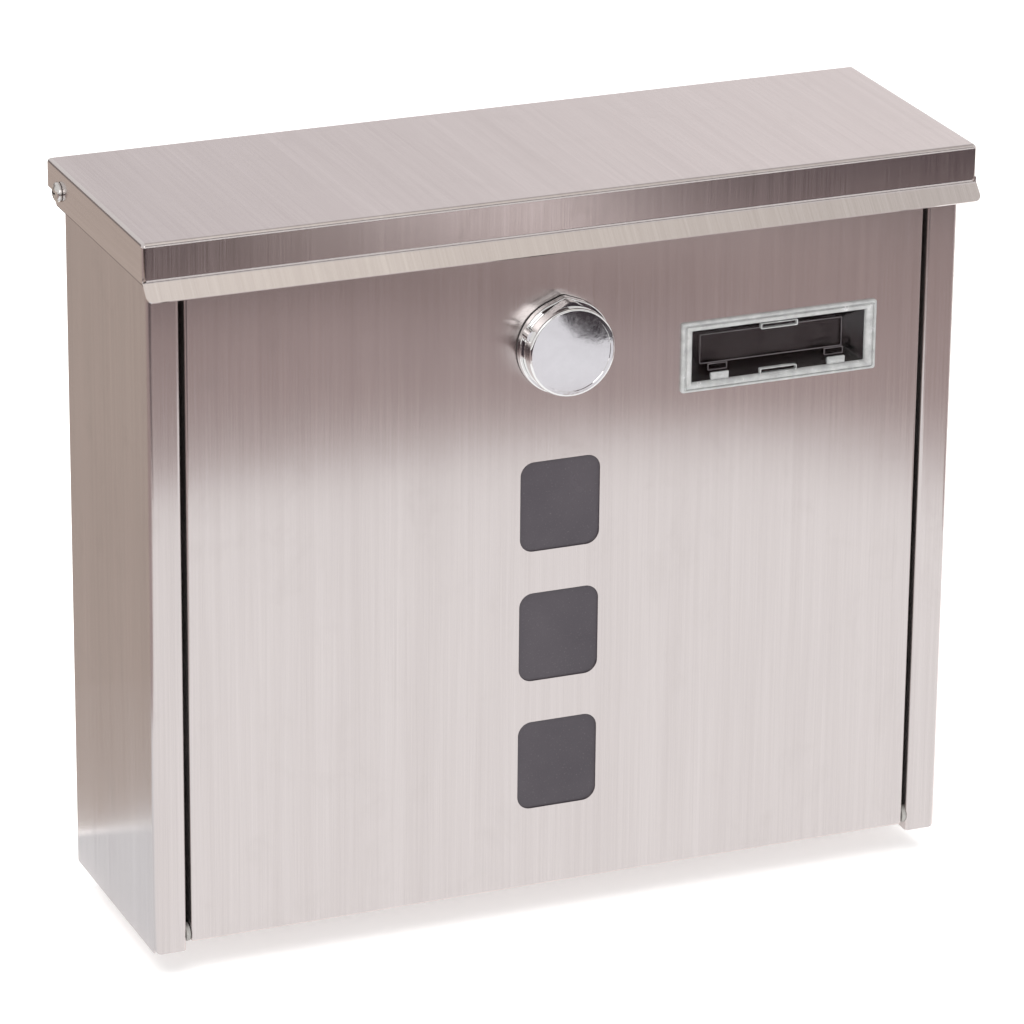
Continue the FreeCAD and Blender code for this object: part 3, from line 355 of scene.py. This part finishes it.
def rounded_rectangle(centre, half_width, half_height, radius, depth):
    """Points, anticlockwise seen from the front, of a rectangle across the door at one depth."""
    points = []
    for corner in range(4):
        side_x = 1 if corner in (0, 3) else -1
        side_z = 1 if corner in (0, 1) else -1
        for step in range(CORNER_STEPS + 1):
            angle = math.radians(90) * (corner + step / CORNER_STEPS)
            points.append((centre.x + side_x * (half_width - radius) + radius * math.cos(angle), depth,
                           centre.z + side_z * (half_height - radius) + radius * math.sin(angle)))
    return points


def skin(name, loops, capped=False):
    """A mesh through a row of loops, closed by caps on its ends or by joining last to first."""
    built = bmesh.new()
    rings = [[built.verts.new(point) for point in loop] for loop in loops]
    following = rings[1:] if capped else rings[1:] + rings[:1]
    for ring, after in zip(rings, following):
        for number in range(len(ring)):
            beside = (number + 1) % len(ring)
            built.faces.new((ring[number], ring[beside], after[beside], after[number]))
    if capped:
        built.faces.new(reversed(rings[0]))
        built.faces.new(rings[-1])
    bmesh.ops.recalc_face_normals(built, faces=built.faces)
    item = make_object(name, built)
    item.data.shade_smooth()
    item.data.set_sharp_from_angle(angle=SHARP_ANGLE)
    return item


def name_piece(name, loops, finish, capped=False):
    """One piece of the name holder, which rides with the door."""
    item = skin(name, loops, capped)
    item.data.materials.append(finish)
    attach(item, "door")
    return item


# The rim's front is at FACE and it sits on the door's face, SEAT. The tray ends inside the box.
HOLDER_LOW, HOLDER_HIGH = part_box("name_frame")
HOLDER_MIDDLE = (HOLDER_LOW + HOLDER_HIGH) / 2
HOLDER_HALF = (HOLDER_HIGH - HOLDER_LOW) / 2
FACE = HOLDER_LOW.y
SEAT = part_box("door_panel")[0].y
TRAY_END = HOLDER_HIGH.y
RIM_CLEARANCE = 0.02 * MM
TRAY_INSET = (12.0, 8.9)
HOOK_FROM_END = 18 * MM
HOOK_FROM_BOTTOM = 5.6 * MM
SLOT_ABOVE_HOOK = 3.3 * MM
TAB_FROM_TOP = 5.6 * MM
TAB_FROM_BOTTOM = 5.0 * MM


def inset_loop(inset_x, inset_z, depth, radius=0.6):
    """The holder's outline moved in by so many millimetres, at one depth."""
    return rounded_rectangle(HOLDER_MIDDLE, HOLDER_HALF.x - inset_x * MM, HOLDER_HALF.z - inset_z * MM,
                             radius * MM, depth)


def tray_loop(further_in, depth):
    """The outline of the tray's far end, moved in by so many millimetres more, at one depth."""
    return inset_loop(TRAY_INSET[0] + further_in, TRAY_INSET[1] + further_in, depth)


def small_loop(centre, half_width, half_height, radius, depth):
    """A small rectangle about a centre, with its half sizes and radius in millimetres."""
    return rounded_rectangle(centre, half_width * MM, half_height * MM, radius * MM, depth)


def ring_piece(name, centre, outer, inner, near, far, finish):
    """A ring from near to far. outer and inner each give a half width, a half height and a radius."""
    name_piece(name, [small_loop(centre, *outer, near), small_loop(centre, *outer, far),
                      small_loop(centre, *inner, far), small_loop(centre, *inner, near)], finish)


def make_rim():
    """Pale rim with a stepped edge and a ridge round the opening. Its pale colour is painted highlight.
    """
    step = FACE + 0.9 * MM
    behind = SEAT + 0.6 * MM
    rim = name_piece("name_rim", [
        inset_loop(0.0, 0.0, SEAT - RIM_CLEARANCE, 1.0), inset_loop(0.0, 0.0, step, 1.0),
        inset_loop(0.3, 0.3, FACE + 0.5 * MM, 1.0), inset_loop(1.2, 1.0, FACE + 0.35 * MM, 0.8),
        inset_loop(1.5, 1.3, step), inset_loop(2.0, 1.6, step),
        inset_loop(2.2, 1.8, FACE + 0.1 * MM), inset_loop(2.5, 2.1, FACE), inset_loop(3.6, 2.9, FACE),
        inset_loop(4.4, 3.5, FACE + 0.5 * MM), inset_loop(4.9, 3.9, FACE + 1.4 * MM),
        inset_loop(4.9, 3.9, behind), inset_loop(2.6, 2.4, behind),
        inset_loop(2.6, 2.4, SEAT - RIM_CLEARANCE)], pale_plastic_painted_highlight)
    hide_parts("name_frame")


def make_tray():
    """Clear tapered walls behind the rim, with a smoky bead round their far end."""
    start = SEAT + 0.7 * MM
    bead_start = TRAY_END - 0.4 * MM
    name_piece("name_tray", [
        inset_loop(4.3, 3.4, start), inset_loop(4.9, 3.9, start), tray_loop(0.0, bead_start),
        tray_loop(0.0, TRAY_END), tray_loop(-0.4, TRAY_END)], clear)
    name_piece("name_tray_bead", [
        tray_loop(0.3, TRAY_END - 0.7 * MM), tray_loop(-0.1, TRAY_END - 0.8 * MM),
        tray_loop(-0.1, bead_start), tray_loop(0.3, bead_start)], smoky)


def make_back_pane():
    """Flat clear pane that closes the tray."""
    pane = name_piece("name_back_pane", [tray_loop(0.0, TRAY_END + 0.1 * MM),
                                         tray_loop(0.0, TRAY_END + 0.8 * MM)], clear, capped=True)
    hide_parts("name_back")


def make_hook(side_name, centre):
    """Hook on the rim's lower side, and the slot above it that it snaps into."""
    name_piece("name_hook_" + side_name, [
        small_loop(centre, 3.4, 0.5, 0.2, FACE + 0.7 * MM),
        small_loop(centre, 4.1, 1.6, 0.3, FACE + 1.6 * MM),
        small_loop(centre, 4.1, 1.6, 0.3, SEAT + 0.4 * MM),
        small_loop(centre, 3.8, 0.5, 0.2, SEAT + 1.6 * MM)], pale_plastic_painted_highlight, capped=True)
    slot_centre = centre + Vector((0.0, 0.0, SLOT_ABOVE_HOOK))
    ring_piece("name_slot_" + side_name, slot_centre, (4.4, 1.5, 0.2), (4.1, 1.2, 0.2),
               SEAT + 2.2 * MM, SEAT + 2.8 * MM, smoky)


def make_tab(end_name, height):
    """Hollow tab at the middle of a long side."""
    ring_piece("name_tab_" + end_name, Vector((HOLDER_MIDDLE.x, 0.0, height)), (8.5, 1.3, 0.5),
               (8.0, 0.9, 0.4), FACE + 1.2 * MM, SEAT + 1.0 * MM, pale_plastic_painted_highlight)


make_rim()
make_tray()
make_back_pane()
for side, side_name in ((-1, "left"), (1, "right")):
    make_hook(side_name, Vector((HOLDER_MIDDLE.x + side * (HOLDER_HALF.x - HOOK_FROM_END), 0.0,
                                 HOLDER_LOW.z + HOOK_FROM_BOTTOM)))
make_tab("top", HOLDER_HIGH.z - TAB_FROM_TOP)
make_tab("bottom", HOLDER_LOW.z + TAB_FROM_BOTTOM)


# ---------------------------------------------------------------- stage

def plane(name, corners):
    """A flat polygon through its corners, which go anticlockwise seen from its front."""
    built = bmesh.new()
    built.faces.new([built.verts.new(corner) for corner in corners])
    item = make_object(name, built)
    return item


def rectangle(x_range, y_range):
    """Corners of a rectangle, as pairs, anticlockwise from its lowest one."""
    (x_low, x_high), (y_low, y_high) = x_range, y_range
    return [(x_low, y_low), (x_high, y_low), (x_high, y_high), (x_low, y_high)]


def matt(name, colour, glow):
    """Paper-like. A little glow of its own keeps the shadows on it light."""
    shader = Shader(name)
    shader.colour(shader.noise(3.0), colour, tuple(value * 0.99 for value in colour))
    shader.set(Roughness=0.9, Specular_IOR_Level=0.0, Emission_Color=(1.0, 1.0, 1.0, 1.0),
               Emission_Strength=glow)
    return shader.material


def glowing(name, colour, other):
    """Studio card that shades from one colour on its left to the other on its right."""
    shader = Shader(name)
    split = shader.tree.nodes.new("ShaderNodeSeparateXYZ")
    shader.link(shader.where.node.outputs["Generated"], split.inputs["Vector"])
    shader.link(shader.mix(split.outputs["X"], colour, other), "Emission Color")
    shader.set(Base_Color=(0.0, 0.0, 0.0, 1.0), Specular_IOR_Level=0.0, Emission_Strength=1.0)
    return shader.material


def card(name, corners, colour, other=None):
    """A studio card that is seen only in the metal."""
    item = plane(name, corners)
    item.data.materials.append(glowing(name, colour, other or colour))
    item.visible_camera = False
    item.visible_diffuse = False
    item.visible_shadow = False
    item.visible_transmission = False


def area_light(name, place, size, power, colour):
    """A soft light that shines at the middle of the box and isn't mirrored in it."""
    data = bpy.data.lights.new(name, "AREA")
    data.shape = "RECTANGLE"
    data.size, data.size_y = size
    data.energy = power
    data.color = colour
    item = bpy.data.objects.new(name, data)
    item.location = place
    item.rotation_mode = "QUATERNION"
    item.rotation_quaternion = (LIGHT_AIM - Vector(place)).to_track_quat("-Z", "Y")
    item.visible_glossy = False
    bpy.context.scene.collection.objects.link(item)


FLOOR_DROP = 0.012
FLOOR_REACH = 6.0
FLOOR_GLOW = 0.36
CARD_REACH = 3.0
CARD_STEP = 0.0003
CEILING = 1.5
WORLD_COLOUR = (1.0, 0.99, 0.985, 1.0)
WORLD_STRENGTH = 0.85
LIGHT_AIM = Vector((0.0, -0.05, 0.0))
GREY = (0.455, 0.365, 0.355)
FAR_DARK = (0.10, 0.08, 0.09)

box_low, box_high = cad_box
left = box_low.x
front = box_low.y
back = box_high.y
ground = box_low.z - FLOOR_DROP


def make_floor():
    """Pale floor, a little below the box so that the open door and the lock cover clear it."""
    whole = (-FLOOR_REACH, FLOOR_REACH)
    floor = plane("floor", [(x, y, ground) for x, y in rectangle(whole, whole)])
    floor.data.materials.append(matt("floor_pale", (0.93, 0.925, 0.92), FLOOR_GLOW))


def floor_card(name, layer, outline, colour, other=None):
    """A card on the floor. Where cards cross, the one in the higher layer shows."""
    height = ground + CARD_STEP * layer
    card(name, [(x, y, height) for x, y in outline], colour, other)


def wall_card(name, y, x_range, z_range, colour, other=None):
    """An upright card that stands parallel to the door, at one y."""
    card(name, [(x, y, z) for x, z in rectangle(x_range, z_range)], colour, other)


def overhead_card(name, x_range, y_range, colour, other):
    """A card that hangs face down."""
    card(name, [(x, y, CEILING) for x, y in reversed(rectangle(x_range, y_range))], colour, other)


# Steel and chrome take their tones from what they mirror, so each face has cards where it looks.
sheet_left = -0.45
side_edge = 0.033
white_end = front - 0.535
dark_start = front - 0.81
dark_side_start = front - 0.57
dark_end = -2.2
glow_range = (-1.4, dark_start)


def cards_for_the_door():
    """White nearby, for the lower part of door and side, and grey beyond it for the door's upper part."""
    floor_card("left_grey", 1, rectangle((-CARD_REACH, sheet_left), (white_end, side_edge)), GREY)
    floor_card("sheet_white", 1, rectangle((sheet_left, 1.6), (white_end, front)), (1.08, 1.08, 1.085))
    floor_card("side_white", 1, rectangle((sheet_left, left), (front, side_edge)), (0.88, 0.90, 0.925))
    floor_card("front_grey", 2, [(-CARD_REACH, front - 1.0), (CARD_REACH, front - 1.0),
                                 (CARD_REACH, front - 0.10), (0.55, front - 0.10),
                                 (0.45, front - 0.33), (0.34, white_end),
                                 (-CARD_REACH, white_end)], GREY)


def cards_for_the_lid():
    """Dark beyond the grey, with a bright strip that fades to both sides."""
    floor_card("front_dark", 3, rectangle((-CARD_REACH, CARD_REACH), (dark_end, dark_start)),
               (0.080, 0.060, 0.068))
    floor_card("left_dark", 3, rectangle((-CARD_REACH, -0.2), (dark_start, dark_side_start)), FAR_DARK)
    floor_card("right_dark", 3, rectangle((0.68, CARD_REACH), (dark_start, dark_side_start)), FAR_DARK)
    floor_card("front_glow", 4, rectangle((0.31, 0.40), glow_range), (1.20, 1.11, 1.10),
               (1.08, 1.0, 0.99))
    floor_card("front_glow_left", 4, rectangle((0.16, 0.31), glow_range), (0.18, 0.14, 0.13),
               (0.55, 0.49, 0.49))
    floor_card("front_glow_right", 4, rectangle((0.40, 0.50), glow_range), (0.40, 0.34, 0.34),
               (0.12, 0.09, 0.10))


def cards_for_the_lock():
    """The cover mirrors a pale patch, and a dark one in its upper right."""
    floor_card("lock_dark", 5, rectangle((0.290, 0.350), (front - 0.75, front - 0.66)),
               (0.035, 0.028, 0.034))
    floor_card("lock_glow", 6, [(0.284, front - 0.728), (0.303, front - 0.728),
                                (0.300, front - 0.709), (0.297, front - 0.686),
                                (0.304, front - 0.673), (0.322, front - 0.673),
                                (0.290, front - 0.60), (0.225, front - 0.60)], (0.80, 0.785, 0.83))


def cards_behind_and_above():
    """For the shell's sides and back, the lid's top and drip lip, and the chrome's rounded edges."""
    floor_card("behind_grey", 7, [(-CARD_REACH, side_edge), (left - 0.01, side_edge),
                                  (left - 0.01, back + 0.2), (CARD_REACH, back + 0.2),
                                  (CARD_REACH, CARD_REACH), (-CARD_REACH, CARD_REACH)],
               (0.560, 0.482, 0.430))
    wall_card("high_front_dark", -CARD_REACH, (-0.5, 3.5), (1.35, 2.1), (0.10, 0.08, 0.08))
    wall_card("left_front_light", -CARD_REACH, (-2.0, -0.55), (0.9, 2.3), (2.6, 2.6, 2.6))
    wall_card("back_pale", 2.0, (0.4, 1.4), (0.35, 1.8), (0.74, 0.70, 0.71), (0.98, 0.93, 0.93))
    wall_card("back_left_dark", CARD_REACH, (-CARD_REACH, 0.0), (ground, 0.9), (0.25, 0.22, 0.21))
    overhead_card("above_front", (0.25, 0.95), (-1.4, -0.3), (1.10, 1.05, 0.97), (0.62, 0.60, 0.57))
    overhead_card("above", (-0.1, 1.3), (-0.3, 0.9), (0.66, 0.63, 0.62), (0.50, 0.48, 0.47))


def make_world():
    """An even, faintly warm white all round."""
    world = bpy.data.worlds.new("studio")
    world.use_nodes = True
    background = world.node_tree.nodes["Background"]
    background.inputs["Color"].default_value = WORLD_COLOUR
    background.inputs["Strength"].default_value = WORLD_STRENGTH
    bpy.context.scene.world = world
    bpy.context.scene.view_settings.view_transform = "Standard"


make_floor()
cards_for_the_door()
cards_for_the_lid()
cards_for_the_lock()
cards_behind_and_above()
area_light("key", (-0.9, -1.1, 1.7), (1.2, 0.9), 18.0, (1.0, 0.985, 0.97))
area_light("top", (0.4, 0.3, 1.5), (1.0, 1.0), 10.0, (1.0, 0.99, 0.98))
make_world()


# ---------------------------------------------------------------- camera

SENSOR = 36.0
LENS = 202.9
VIEW_REACH = 50.0
CAMERA_PLACE = Vector((-882.5, -2186.0, 889.0)) * MM
CAMERA_AHEAD = Vector((0.3581, 0.8603, -0.3629))
CAMERA_RIGHT = Vector((0.9245, -0.3810, 0.0091))


def make_camera():
    """A long lens from the front left and above."""
    data = bpy.data.cameras.new("camera")
    data.lens = LENS
    data.sensor_width = SENSOR
    data.clip_end = VIEW_REACH
    item = bpy.data.objects.new("camera", data)
    ahead = CAMERA_AHEAD.normalized()
    right = (CAMERA_RIGHT - ahead * CAMERA_RIGHT.dot(ahead)).normalized()
    turn = Matrix((right, right.cross(ahead), -ahead)).transposed()
    item.rotation_mode = "QUATERNION"
    item.rotation_quaternion = turn.to_quaternion()
    item.location = CAMERA_PLACE
    bpy.context.scene.collection.objects.link(item)
    bpy.context.scene.camera = item


make_camera()
